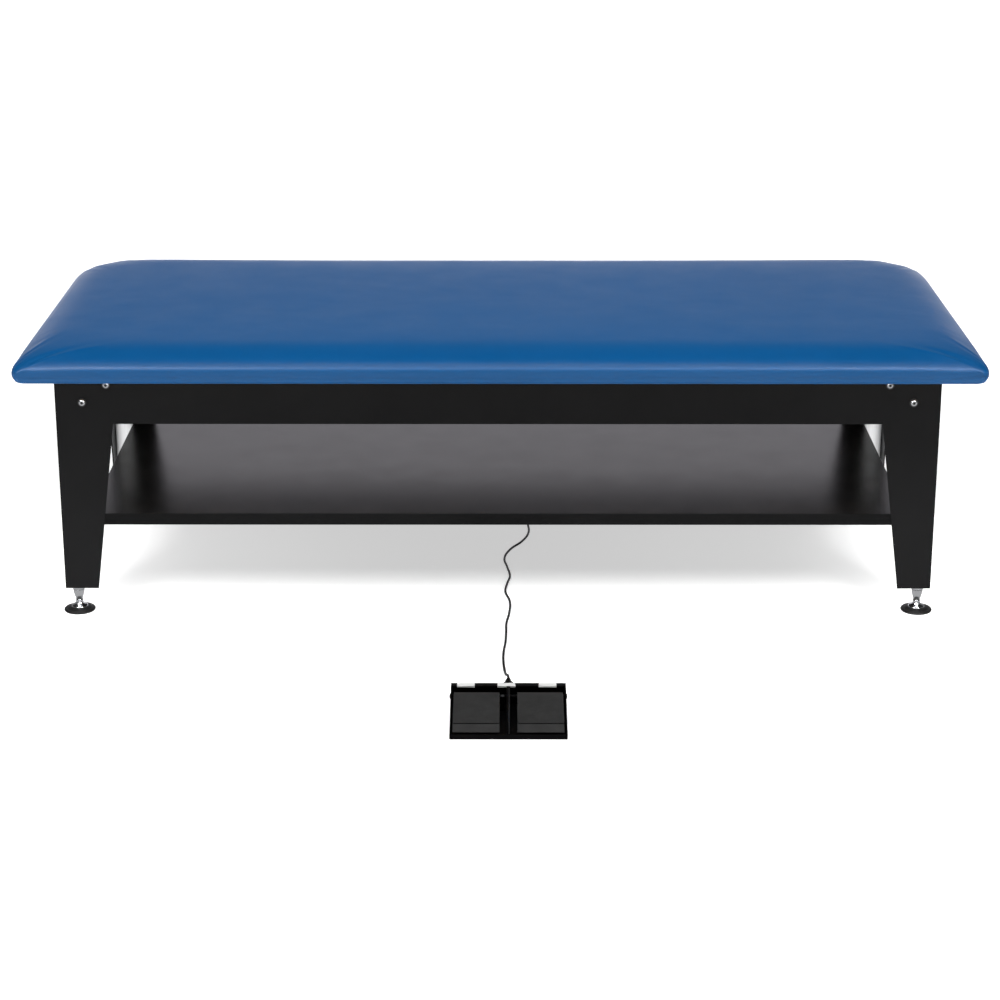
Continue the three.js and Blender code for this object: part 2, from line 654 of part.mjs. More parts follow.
makeCushion();
makeTopBoard();
makeLongPanels();
makeEndPanels();
for (const corner of CORNERS) {
  makeCornerBracket(corner);
  makeBolts(corner);
  makeActuator(corner);
  makeShelfBracket(corner);
}
makeShelf();
makeCrossRails();
makeControlBox();
makeInlet();
makeGland();
makeMotorLoom();
makeSwitchBase();
makeHingePin();
makeTreadles();
makeStrainRelief();
makeLead();

const examTable = new THREE.Group();
examTable.add(table);
export default examTable;
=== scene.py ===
"""Looks of the height-adjustable exam table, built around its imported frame. Metres, +Z up."""

import json
import math

import bmesh
import bpy
from mathutils import Matrix, Vector, noise

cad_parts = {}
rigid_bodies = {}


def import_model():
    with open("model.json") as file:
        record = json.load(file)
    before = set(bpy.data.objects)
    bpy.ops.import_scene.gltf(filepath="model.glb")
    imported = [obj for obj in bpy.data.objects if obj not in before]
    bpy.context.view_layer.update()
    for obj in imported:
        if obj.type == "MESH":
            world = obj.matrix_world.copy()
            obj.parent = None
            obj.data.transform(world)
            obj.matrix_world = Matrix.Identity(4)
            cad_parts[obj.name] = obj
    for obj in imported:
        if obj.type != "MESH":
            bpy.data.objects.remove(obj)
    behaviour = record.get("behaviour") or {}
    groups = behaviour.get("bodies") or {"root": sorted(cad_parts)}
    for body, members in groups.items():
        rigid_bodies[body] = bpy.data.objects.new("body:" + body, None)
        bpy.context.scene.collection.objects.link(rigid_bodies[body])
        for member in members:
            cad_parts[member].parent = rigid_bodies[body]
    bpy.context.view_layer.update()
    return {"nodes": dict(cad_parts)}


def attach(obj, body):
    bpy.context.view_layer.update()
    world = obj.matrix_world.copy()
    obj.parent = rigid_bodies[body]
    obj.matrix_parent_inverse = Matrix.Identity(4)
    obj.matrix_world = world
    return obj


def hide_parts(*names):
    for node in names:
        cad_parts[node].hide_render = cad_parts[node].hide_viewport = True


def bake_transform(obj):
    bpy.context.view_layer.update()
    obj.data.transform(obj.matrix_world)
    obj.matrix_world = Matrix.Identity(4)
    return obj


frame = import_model()
NODES = frame["nodes"]
scene = bpy.context.scene

# ---- dimensions, as in the CAD part, in metres ----
TABLE_Y = 0.2885  # the table's middle, from the origin
AXIS_X, AXIS_Y = 0.891, 0.3575  # a lift column's axis, from the table's middle
HALF_LENGTH, HALF_DEPTH = 0.9145, 0.381  # the steel frame
CORNERS = [
    (f"{side}_{end}", sx, sy)
    for side, sy in (("front", -1), ("rear", 1))
    for end, sx in (("left", -1), ("right", 1))
]
BOLT_PLACES = ((0.107, 0.504), (0.056, 0.466))  # in from the frame's end, above the floor
SWITCH_X, SWITCH_REAR = 0.0215, -0.867
PIVOT = (-0.897, 0.030)


# ---- camera ----
def make_camera():
    data = bpy.data.cameras.new("camera")
    data.sensor_width = 36
    data.lens = 89.57
    camera = bpy.data.objects.new("camera", data)
    scene.collection.objects.link(camera)
    place = Matrix.Translation((0.0125, -5.3116 + TABLE_Y, 1.9125))
    turn = Matrix.Rotation(math.radians(0.093), 4, "Z") @ Matrix.Rotation(math.radians(90 - 18.587), 4, "X")
    camera.matrix_world = place @ turn
    scene.camera = camera


# ---- materials ----
class Nodes:
    """A material's node tree, with its object coordinates and its shader ready."""

    def __init__(self, name):
        self.material = bpy.data.materials.new(name)
        self.material.use_nodes = True
        self.tree = self.material.node_tree
        self.shader = self.tree.nodes["Principled BSDF"]
        self.place = self.add("ShaderNodeTexCoord").outputs["Object"]
        self.height = None

    def add(self, kind, **settings):
        node = self.tree.nodes.new(kind)
        for key, value in settings.items():
            setattr(node, key, value)
        return node

    def link(self, source, target):
        self.tree.links.new(source, target)

    def stretched(self, scale, turn=(0, 0, 0)):
        node = self.add("ShaderNodeMapping")
        node.inputs["Scale"].default_value = scale
        node.inputs["Rotation"].default_value = turn
        self.link(self.place, node.inputs["Vector"])
        return node.outputs["Vector"]

    def noise(self, scale, detail=3.0, at=None, distortion=0.0):
        node = self.add("ShaderNodeTexNoise")
        node.inputs["Scale"].default_value = scale
        node.inputs["Detail"].default_value = detail
        node.inputs["Distortion"].default_value = distortion
        self.link(at or self.place, node.inputs["Vector"])
        return node.outputs["Fac"]

    def cells(self, scale, feature="DISTANCE_TO_EDGE", at=None):
        node = self.add("ShaderNodeTexVoronoi", feature=feature)
        node.inputs["Scale"].default_value = scale
        self.link(at or self.place, node.inputs["Vector"])
        return node.outputs["Distance"]

    def ramp(self, fac, stops):
        node = self.add("ShaderNodeValToRGB")
        ramp = node.color_ramp
        while len(ramp.elements) < len(stops):
            ramp.elements.new(1.0)
        for element, (position, colour) in zip(ramp.elements, stops):
            element.position = position
            element.color = (*colour, 1.0)
        self.link(fac, node.inputs["Fac"])
        return node.outputs["Color"]

    def spread(self, fac, low, high, source=(0.3, 0.7)):
        node = self.add("ShaderNodeMapRange")
        for key, value in zip(("From Min", "From Max", "To Min", "To Max"), (*source, low, high)):
            node.inputs[key].default_value = value
        self.link(fac, node.inputs["Value"])
        return node.outputs["Result"]

    def colour(self, output):
        self.link(output, self.shader.inputs["Base Color"])

    def rough(self, output):
        self.link(output, self.shader.inputs["Roughness"])

    def bump(self, height, distance, strength=1.0):
        node = self.add("ShaderNodeBump")
        node.inputs["Distance"].default_value = distance
        node.inputs["Strength"].default_value = strength
        self.link(height, node.inputs["Height"])
        if self.height:
            self.link(self.height, node.inputs["Normal"])
        self.height = node.outputs["Normal"]
        self.link(self.height, self.shader.inputs["Normal"])

    def set(self, **values):
        for key, value in values.items():
            self.shader.inputs[key.replace("_", " ")].default_value = value


def tints(colour, amount):
    low, high = (tuple(c * (1 + s * amount) for c in colour) for s in (-1, 1))
    return [(0.3, low), (0.7, high)]


def finish_material(name, colour, rough, metallic=0.0, mottle=6.0, tint=0.08, grain=None, specular=0.5):
    """A plain finish with a little variation of colour and roughness, and a fine grain."""
    n = Nodes(name)
    n.set(Metallic=metallic)
    n.colour(n.ramp(n.noise(mottle, 4.0), tints(colour, tint)))
    n.rough(n.spread(n.noise(mottle * 3.1, 5.0), *rough))
    if grain:
        scale, distance = grain
        n.bump(n.noise(scale, 2.0), distance)
    n.set(Specular_IOR_Level=specular)
    return n.material


def vinyl_material():
    n = Nodes("blue_vinyl")
    blue = (0.0008, 0.078, 0.240)
    n.colour(n.ramp(n.noise(2.2, 5.0, distortion=0.4), tints(blue, 0.02)))
    n.rough(n.spread(n.noise(9.0, 5.0), 0.31, 0.37))
    n.set(Specular_IOR_Level=0.35)
    pebble = n.spread(n.cells(620.0), 0.0, 1.0, (0.0, 0.32))
    n.bump(n.noise(26.0, 3.0), 0.0006, 0.5)
    n.bump(pebble, 0.00012, 0.55)
    return n.material


def plywood_material():
    n = Nodes("plywood")
    along = n.stretched((3.0, 38.0, 38.0))
    streaks = n.noise(4.0, 8.0, at=along, distortion=1.6)
    dark, middle, pale = (0.30, 0.175, 0.082), (0.50, 0.33, 0.17), (0.60, 0.43, 0.25)
    n.colour(n.ramp(streaks, [(0.30, dark), (0.55, middle), (0.75, pale)]))
    n.rough(n.spread(streaks, 0.62, 0.78))
    n.bump(streaks, 0.0004, 0.5)
    return n.material


def brushed_material(name, colour, rough, scale, metallic, distance=0.00006):
    n = Nodes(name)
    n.set(Metallic=metallic)
    brushed = n.noise(3.0, 6.0, at=n.stretched(scale))
    n.colour(n.ramp(brushed, tints(colour, 0.07)))
    n.rough(n.spread(brushed, *rough))
    n.bump(brushed, distance, 0.6)
    return n.material


def braid_material():
    n = Nodes("woven_sleeve")
    wave = n.add("ShaderNodeTexWave", bands_direction="DIAGONAL")
    wave.inputs["Scale"].default_value = 260.0
    n.link(n.place, wave.inputs["Vector"])
    n.colour(n.ramp(wave.outputs["Fac"], [(0.2, (0.006, 0.006, 0.006)), (0.8, (0.022, 0.022, 0.023))]))
    n.rough(n.spread(wave.outputs["Fac"], 0.55, 0.8))
    n.bump(wave.outputs["Fac"], 0.0004)
    return n.material


VINYL = vinyl_material()
PLYWOOD = plywood_material()
POWDER_COAT = finish_material(
    "black_powder_coat", (0.0088, 0.0088, 0.0091), (0.20, 0.25), 0.0, 5.0, 0.10, (1500.0, 0.00004), 0.10
)
ZINC = finish_material("zinc_plate", (0.50, 0.51, 0.53), (0.30, 0.48), 1.0, 38.0, 0.16, (700.0, 0.00004))
CHROME = finish_material("chrome", (0.72, 0.73, 0.75), (0.10, 0.18), 1.0, 30.0, 0.03, (300.0, 0.00001))
TUBE_SILVER = brushed_material(
    "drawn_aluminium", (0.66, 0.665, 0.675), (0.34, 0.46), (260.0, 260.0, 5.0), 0.2
)
FOOT_RUBBER = finish_material(
    "foot_rubber", (0.007, 0.007, 0.007), (0.45, 0.62), 0.0, 60.0, 0.25, (900.0, 0.0001)
)
CABLE = finish_material(
    "cable_jacket", (0.002, 0.002, 0.002), (0.42, 0.55), 0.0, 40.0, 0.2, (800.0, 0.00006), 0.12
)
BOX_PLASTIC = finish_material(
    "box_plastic", (0.020, 0.020, 0.021), (0.42, 0.55), 0.0, 14.0, 0.12, (1100.0, 0.00009)
)
SWITCH_BLACK = finish_material(
    "switch_enamel", (0.0018, 0.0018, 0.0020), (0.28, 0.38), 0.0, 20.0, 0.15, (1200.0, 0.00006), 0.07
)
TREADLE_GREY = finish_material(
    "treadle_grip", (0.028, 0.028, 0.028), (0.60, 0.72), 0.0, 30.0, 0.12, (1400.0, 0.00016), 0.08
)
MOTOR_GREY = finish_material(
    "motor_enamel", (0.060, 0.063, 0.067), (0.36, 0.48), 0.6, 16.0, 0.12, (600.0, 0.00008)
)
LABEL = finish_material("blank_label", (0.80, 0.80, 0.79), (0.32, 0.42), 0.0, 45.0, 0.03, (500.0, 0.00002))
SLEEVE = braid_material()


# ---- mesh building ----
SHARP_ANGLE = math.radians(50)  # an edge that turns more than this stays crisp


def piece(bm, name, material, body, replaces=()):
    """An object from a bmesh, shaded smoothly with its large faces kept flat."""
    bmesh.ops.recalc_face_normals(bm, faces=bm.faces)
    mesh = bpy.data.meshes.new(name)
    bm.to_mesh(mesh)
    bm.free()
    for polygon in mesh.polygons:
        polygon.use_smooth = True
    mesh.set_sharp_from_angle(angle=SHARP_ANGLE)
    mesh.materials.append(material)
    made = bpy.data.objects.new(name, mesh)
    scene.collection.objects.link(made)
    weighted = made.modifiers.new("flat_faces", "WEIGHTED_NORMAL")
    weighted.keep_sharp = True
    bake(made)
    settle(made, body, replaces)
    return made


def bake(made):
    """Puts an object's modifiers into its mesh."""
    mesh, old = evaluated_mesh(made), made.data
    made.modifiers.clear()
    made.data = mesh
    bpy.data.meshes.remove(old)


def settle(made, body, replaces=()):
    if body:
        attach(made, body)
    if replaces:
        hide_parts(*replaces)


def frame_along(origin, axis):
    """A matrix that takes +Z to axis and the origin to origin."""
    turn = Vector((0, 0, 1)).rotation_difference(Vector(axis)).to_matrix().to_4x4()
    return Matrix.Translation(origin) @ turn


def add_lathe(bm, profile, origin, axis=(0, 0, 1), segments=48, hexed=()):
    """A solid turned about axis. hexed lists the profile's points that lie on a hexagon."""
    place = frame_along(origin, axis)
    rings = []
    for index, (radius, height) in enumerate(profile):
        if radius == 0:
            rings.append([bm.verts.new(place @ Vector((0, 0, height)))])
            continue
        ring = []
        for i in range(segments):
            angle = 2 * math.pi * i / segments
            r = radius
            if index in hexed:
                r *= math.cos(math.pi / 6) / math.cos(angle % (math.pi / 3) - math.pi / 6)
            ring.append(bm.verts.new(place @ Vector((r * math.cos(angle), r * math.sin(angle), height))))
        rings.append(ring)
    for low, high in zip(rings, rings[1:]):
        for i in range(segments):
            j = (i + 1) % segments
            corners = [low[i % len(low)], low[j % len(low)], high[j % len(high)], high[i % len(high)]]
            corners = list(dict.fromkeys(corners))
            if len(corners) > 2:
                bm.faces.new(corners)
    return rings


def add_block(bm, centre, size, bevel=0.001, turn=None, segments=2):
    place = Matrix.Translation(centre) @ (turn or Matrix.Identity(4))
    made = bmesh.ops.create_cube(bm, size=1.0, matrix=place @ Matrix.Diagonal((*size, 1.0)))
    if bevel:
        edges = {edge for vert in made["verts"] for edge in vert.link_edges}
        bmesh.ops.bevel(bm, geom=list(edges), offset=bevel, segments=segments, profile=0.5, affect="EDGES")


def softened(node, material, body, bevel, segments=2):
    """A copy of a CAD node with its sharp edges rounded off, which stands for it."""
    bm = bmesh.new()
    bm.from_mesh(NODES[node].data)
    bmesh.ops.remove_doubles(bm, verts=bm.verts, dist=1e-5)
    bmesh.ops.dissolve_limit(bm, angle_limit=math.radians(1), verts=bm.verts, edges=bm.edges)
    edges = [e for e in bm.edges if len(e.link_faces) == 2 and e.calc_face_angle(0) > math.radians(35)]
    bmesh.ops.bevel(
        bm, geom=edges, offset=bevel, segments=segments, profile=0.5, affect="EDGES", clamp_overlap=True
    )
    piece(bm, f"{node}_body", material, body, (node,))


def arc_profile(centre, radius, start, end, steps, stretch=1.0):
    """Points of an arc in a lathe's profile, from one angle to another in degrees."""
    points = []
    for i in range(steps + 1):
        angle = math.radians(start + (end - start) * i / steps)
        points.append((centre[0] + radius * math.cos(angle), centre[1] + stretch * radius * math.sin(angle)))
    return points


def curve_piece(name, splines, radius, material):
    data = bpy.data.curves.new(name, "CURVE")
    data.dimensions = "3D"
    data.bevel_depth = radius
    data.bevel_resolution = 4
    data.resolution_u = 6
    data.use_fill_caps = True
    for points in splines:
        spline = data.splines.new("BEZIER")
        spline.bezier_points.add(len(points) - 1)
        for point, place in zip(spline.bezier_points, points):
            point.co = place
            point.handle_left_type = point.handle_right_type = "AUTO"
    data.materials.append(material)
    made = bpy.data.objects.new(name, data)
    scene.collection.objects.link(made)
    return made


def evaluated_mesh(made):
    """An object's mesh as it stands, with its modifiers or its bevel in it."""
    bpy.context.view_layer.update()
    graph = bpy.context.evaluated_depsgraph_get()
    return bpy.data.meshes.new_from_object(made.evaluated_get(graph))


# ---- the foot switch lead: one free cord, from the gland under the table to the strain relief ----
LEAD_RADIUS = 0.0025
LEAD_Z = 0.0028
GLAND = (0.145, 0.325)
COIL = (0.100, 0.262)
RELIEF = (SWITCH_REAR + 0.0003, 0.034, 0.045)  # its foot, its height and its length


def lead_route():
    gx, gy = GLAND
    drop = [(gx, gy, z) for z in (0.4134, 0.33, 0.24, 0.15, 0.075)]
    drop += [(gx - 0.001, gy - 0.001, 0.038), (gx - 0.007, gy - 0.004, 0.015)]
    drop += [(gx - 0.019, gy - 0.011, 0.0048), (gx - 0.033, gy - 0.021, LEAD_Z + 0.0006)]
    coil = []
    turns_in, turns_out, steps = 2.0, 2.23, 14
    start = math.radians(97)
    for i in range(int(turns_in * steps) + 1):
        t = i / steps
        climb = min(1.0, t * 4)
        radius = 0.0378 - 0.0053 * climb - 0.005 * max(0.0, t - 0.25)
        coil.append((start + 2 * math.pi * t, radius, LEAD_Z + 0.0052 * climb))
    inner = coil[-1][1]
    for i in range(2, int(turns_out * steps) + 1):
        t = i / steps
        fall = min(1.0, t * 3.5)
        radius = inner + 0.005 * max(0.0, t - 0.25)
        coil.append((start + 2 * math.pi * (turns_in + t), radius, LEAD_Z + 0.0052 * (1 - fall)))
    coiled = [(COIL[0] + r * math.cos(a), COIL[1] + r * math.sin(a), z) for a, r, z in coil]
    run = [
        (0.0645, 0.243), (0.0655, 0.215), (0.069, 0.185), (0.069, 0.125), (0.054, 0.070), (0.027, 0.015),
        (0.014, -0.045), (0.020, -0.100), (0.026, -0.160), (0.020, -0.205), (0.016, -0.255), (0.0255, -0.315),
        (0.024, -0.385), (0.018, -0.445), (0.0175, -0.495), (0.016, -0.550), (0.012, -0.610), (0.012, -0.660),
    ]
    run = [(x, y, LEAD_Z) for x, y in run]
    rise = [
        (0.0145, -0.705, 0.0032), (0.0165, -0.732, 0.0075), (0.0185, -0.757, 0.016), (0.020, -0.782, 0.026),
        (0.0212, -0.806, 0.033), (SWITCH_X, RELIEF[0] + RELIEF[2] + 0.0003, RELIEF[1]),
    ]
    return [(x, y + TABLE_Y, z) for x, y, z in drop + coiled + run + rise]


def make_lead():
    route = lead_route()
    curve = curve_piece("lead_line", [route], 0, CABLE)
    path = [vert.co.copy() for vert in evaluated_mesh(curve).vertices]
    curve.data.bevel_depth = LEAD_RADIUS
    lead = bpy.data.objects.new("foot_switch_lead", evaluated_mesh(curve))
    scene.collection.objects.link(lead)
    bpy.data.objects.remove(curve)
    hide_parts("lead_floor_run", "lead_drop", "lead_coil")
    lead.visible_glossy = False
    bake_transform(lead)


# ---- the cushion ----
PAD = {"x": 0.005, "a": 0.9895, "b": 0.4575, "low": 0.5245, "wide": 0.545, "top": 0.5880, "roll": 0.120}
# A corner's radius at the pad's widest level, how much it has grown at the top, and how late it grows:
# the front corners are pulled sharp, and the rear ones are rounder.
FRONT_CORNER, REAR_CORNER = (0.018, 0.10, 2.4), (0.080, 0.0, 1.0)
RIM = 0.0298  # from the pad's edge in to the board
COLUMNS, ROWS, ARC = 132, 60, 24


def ring_points(inset, z):
    """A rounded rectangle's points, anticlockwise from the middle of its front left corner's arc."""
    a, b = PAD["a"] - inset, PAD["b"] - inset
    rise = max(0.0, (z - PAD["wide"]) / (PAD["top"] - PAD["wide"]))
    front, rear = (base + grow * rise ** power for base, grow, power in (FRONT_CORNER, REAR_CORNER))
    points = []
    half = ARC // 2

    def arc(sx, sy, r, start, first, last):
        for i in range(first, last):
            angle = math.radians(start + 90 * i / ARC)
            x, y = sx * (a - r) + r * math.cos(angle), sy * (b - r) + r * math.sin(angle)
            points.append(Vector((x, y, z)))

    def side(p, q, count):
        points.extend(p.lerp(q, i / count) for i in range(count))

    arc(-1, -1, front, 180, half, ARC)
    side(Vector((front - a, -b, z)), Vector((a - front, -b, z)), COLUMNS)
    arc(1, -1, front, 270, 0, ARC)
    side(Vector((a, front - b, z)), Vector((a, b - rear, z)), ROWS)
    arc(1, 1, rear, 0, 0, ARC)
    side(Vector((a - rear, b, z)), Vector((rear - a, b, z)), COLUMNS)
    arc(-1, 1, rear, 90, 0, ARC)
    side(Vector((-a, b - rear, z)), Vector((-a, front - b, z)), ROWS)
    arc(-1, -1, front, 180, 0, half)
    return points


def pad_profile():
    """The edge's section as (inset, z), from inside the board's pocket, round the outside, to the top."""
    low, wide, top, roll = (PAD[k] for k in ("low", "wide", "top", "roll"))
    points = [(RIM, low + 0.0156), (RIM, low + 0.008), (RIM, low), (RIM - 0.004, low)]
    for i in range(8):
        angle = math.pi / 2 * i / 8
        points.append((0.020 * (1 - math.sin(angle) ** 0.9), wide - (wide - low) * math.cos(angle)))
    steps = 30
    for i in range(steps + 1):
        rise = math.sin(math.pi / 2 * i / steps)
        inset = roll * (1 - math.sqrt(1 - rise ** 3.3))
        points.append((inset, wide + (top - wide) * rise))
    return points


def fill_grid(bm, ring, bulge):
    """Quads across the inside of a ring, with bulge(x, y) added to their height."""
    across, up = COLUMNS + ARC, ROWS + ARC
    corners = [0, across, across + up, 2 * across + up]
    south = ring[corners[0]:corners[1] + 1]
    east = ring[corners[1]:corners[2] + 1]
    north = list(reversed(ring[corners[2]:corners[3] + 1]))
    west = [ring[0]] + list(reversed(ring[corners[3]:]))
    grid = [[None] * (up + 1) for _ in range(across + 1)]
    for i in range(across + 1):
        for j in range(up + 1):
            if j == 0:
                grid[i][j] = south[i]
            elif j == up:
                grid[i][j] = north[i]
            elif i == 0:
                grid[i][j] = west[j]
            elif i == across:
                grid[i][j] = east[j]
    c00, c10, c01, c11 = (v.co.copy() for v in (south[0], south[-1], north[0], north[-1]))
    for i in range(1, across):
        u = i / across
        for j in range(1, up):
            v = j / up
            co = south[i].co * (1 - v) + north[i].co * v + west[j].co * (1 - u) + east[j].co * u
            co -= c00 * (1 - u) * (1 - v) + c10 * u * (1 - v) + c01 * (1 - u) * v + c11 * u * v
            co.z += bulge(u, v)
            grid[i][j] = bm.verts.new(co)
    for i in range(across):
        for j in range(up):
            bm.faces.new((grid[i][j], grid[i + 1][j], grid[i + 1][j + 1], grid[i][j + 1]))


def make_cushion():
    bm = bmesh.new()
    rings = [[bm.verts.new(p) for p in ring_points(inset, z)] for inset, z in pad_profile()]
    count = len(rings[0])
    for low, high in zip(rings, rings[1:]):
        for i in range(count):
            j = (i + 1) % count
            bm.faces.new((low[i], low[j], high[j], high[i]))
    fill_grid(bm, rings[-1], lambda u, v: 0.0012 * (1 - (2 * u - 1) ** 4) * (1 - (2 * v - 1) ** 4))
    fill_grid(bm, rings[0], lambda u, v: 0.0)
    bmesh.ops.recalc_face_normals(bm, faces=bm.faces)
    mesh = bpy.data.meshes.new("cushion_cover")
    bm.to_mesh(mesh)
    bm.free()
    cushion = bpy.data.objects.new("cushion_cover", mesh)
    scene.collection.objects.link(cushion)
    swell(cushion)
    dress_cushion(mesh)
    mesh.transform(Matrix.Translation((PAD["x"], TABLE_Y, 0)))
    for polygon in mesh.polygons:
        polygon.use_smooth = True
    mesh.materials.append(VINYL)
    cushion.modifiers.new("smooth", "SUBSURF").levels = 1
    bake(cushion)
    settle(cushion, "table_frame", ("cushion",))


SWELL_CAP = 0.0035  # the furthest that a point of the cover moves under pressure


def swell(cushion):
    """Tensions the vinyl over its foam by a short cloth simulation, held to the board underneath."""
    mesh = cushion.data
    start = [v.co.copy() for v in mesh.vertices]
    held = cushion.vertex_groups.new(name="held")
    for vert in mesh.vertices:
        inset = min(PAD["a"] - abs(vert.co.x), PAD["b"] - abs(vert.co.y))
        if vert.co.z < PAD["low"] + 0.004 or (inset > RIM - 0.001 and vert.co.z < PAD["low"] + 0.017):
            held.add([vert.index], 1.0, "REPLACE")
    cloth = cushion.modifiers.new("cloth", "CLOTH")
    cloth.settings.vertex_group_mass = "held"
    cloth.settings.quality = 5
    cloth.settings.mass = 0.6
    cloth.settings.tension_stiffness = cloth.settings.compression_stiffness = 40
    cloth.settings.bending_stiffness = 8
    cloth.settings.use_pressure = True
    cloth.settings.uniform_pressure_force = 4
    cloth.settings.effector_weights.gravity = 0
    cloth.collision_settings.use_collision = False
    for number in range(1, 21):
        scene.frame_set(number)
    graph = bpy.context.evaluated_depsgraph_get()
    swollen = [v.co.copy() for v in cushion.evaluated_get(graph).data.vertices]
    cushion.modifiers.clear()
    cushion.vertex_groups.clear()
    scene.frame_set(1)
    for vert, old, new in zip(mesh.vertices, start, swollen):
        move = new - old
        if move.length > 0:
            vert.co = old + move * (SWELL_CAP * math.tanh(move.length / SWELL_CAP) / move.length)
    for axis, half in ((0, PAD["a"]), (1, PAD["b"])):
        reach = max(vert.co[axis] for vert in mesh.vertices)
        for vert in mesh.vertices:
            vert.co[axis] *= half / reach


TAPER = 0.003  # how much longer the cover is at the front edge, and shorter at the back
FRONT_DROOP, REAR_DROOP, DROOP_REACH = 0.003, 0.018, 0.085  # how far the corners are pulled down, and where


def dress_cushion(mesh):
    """Corners pulled down and pleated, and the slight unevenness of a hand-pulled cover."""
    a, b = PAD["a"], PAD["b"]
    for vert in mesh.vertices:
        x, y, z = vert.co
        if z < PAD["low"] + 0.001:
            continue
        wave = noise.noise(Vector((x * 5.0, y * 5.0, 3.0))) * 0.0002
        ripple = noise.noise(Vector((x * 22.0, y * 22.0, z * 30.0 + 7.0))) * 0.00012
        dx, dy = a - abs(x), b - abs(y)
        corner = FRONT_DROOP if y < 0 else REAR_DROOP
        near = math.exp(-((math.hypot(dx, dy) / DROOP_REACH) ** 2))
        droop = corner * near * min(1.0, (z - PAD["low"]) / 0.03)
        vert.co.z += wave + ripple - droop
        vert.co.x *= 1 - TAPER * y / b
        if dx < 0.10 and dy < 0.10 and z < PAD["top"] - 0.001:
            pleat(vert, dx, dy, math.copysign(1, x), math.copysign(1, y))


PLEATS = ((0.50, 0.0026, 0.055), (0.30, 0.0014, 0.10), (0.70, 0.0014, 0.10))  # where, how deep, how wide


def pleat(vert, dx, dy, sx, sy):
    """Gathers the cover at a corner: furrows that run up from the underside and fade out."""
    r = FRONT_CORNER[0] if sy < 0 else REAR_CORNER[0]
    turn = math.atan2(max(r - dy, 1e-6), max(r - dx, 1e-6)) / (math.pi / 2)
    height = (vert.co.z - PAD["low"]) / (PAD["top"] - PAD["low"])
    fade = max(0.0, 1 - height / 0.62) ** 1.2 * min(1.0, max(0.0, (0.10 - max(dx, dy)) / 0.05))
    for where, depth, width in PLEATS:
        away = (turn - where) / width
        fold = math.exp(-away * away) - 0.45 * math.exp(-((abs(away) - 1.9) ** 2))
        vert.co -= Vector((sx, sy, 0)).normalized() * depth * fold * fade


def make_staples():
    """The staples that hold the cover's hem to the board, seen from below."""
    bm = bmesh.new()
    a, b = PAD["a"] - 0.036, PAD["b"] - 0.036
    z = PAD["low"] - 0.0003
    step = 0.045
    for i in range(int(2 * a / step)):
        for side in (-1, 1):
            x = -a + step * (i + 0.5)
            tilt = Matrix.Rotation(0.25 * noise.noise(Vector((i * 1.7, side, 0))), 4, "Z")
            add_block(bm, (x + PAD["x"], side * b + TABLE_Y, z), (0.011, 0.0012, 0.0006), 0, tilt)
    for i in range(int(2 * b / step)):
        for side in (-1, 1):
            y = -b + step * (i + 0.5)
            tilt = Matrix.Rotation(0.25 * noise.noise(Vector((i * 1.7, side, 5))), 4, "Z")
            add_block(bm, (side * a + PAD["x"], y + TABLE_Y, z), (0.0012, 0.011, 0.0006), 0, tilt)
    piece(bm, "hem_staples", ZINC, "table_frame")


# ---- fasteners ----
def button_profile(radius=0.007, height=0.004, socket=0.0034, depth=0.0034):
    """A button head with a hexagon socket, as a lathe's profile and the points that are hexagonal."""
    stretch = height * 0.72 / radius / math.sin(math.radians(66))
    dome = arc_profile((0, height * 0.28), radius, 0, 66, 7, stretch)
    profile = [(0, 0), (radius, 0)] + dome + [(socket * 1.12, height), (socket, height - 0.0003)]
    profile += [(socket, height - depth), (0, height - depth - 0.0006)]
    return profile, (len(profile) - 3, len(profile) - 2)


SOCKET_SHADE_DISC = ((0, 0.0024), (0.0035, 0.0024), (0.0035, 0.0030), (0, 0.0030))  # a black disc inside each socket, as the painted shade of its recess
WASHER = ((0.0071, 0), (0.0092, 0), (0.0092, 0.0007), (0.0088, 0.0010), (0.0071, 0.0010), (0.0071, 0))


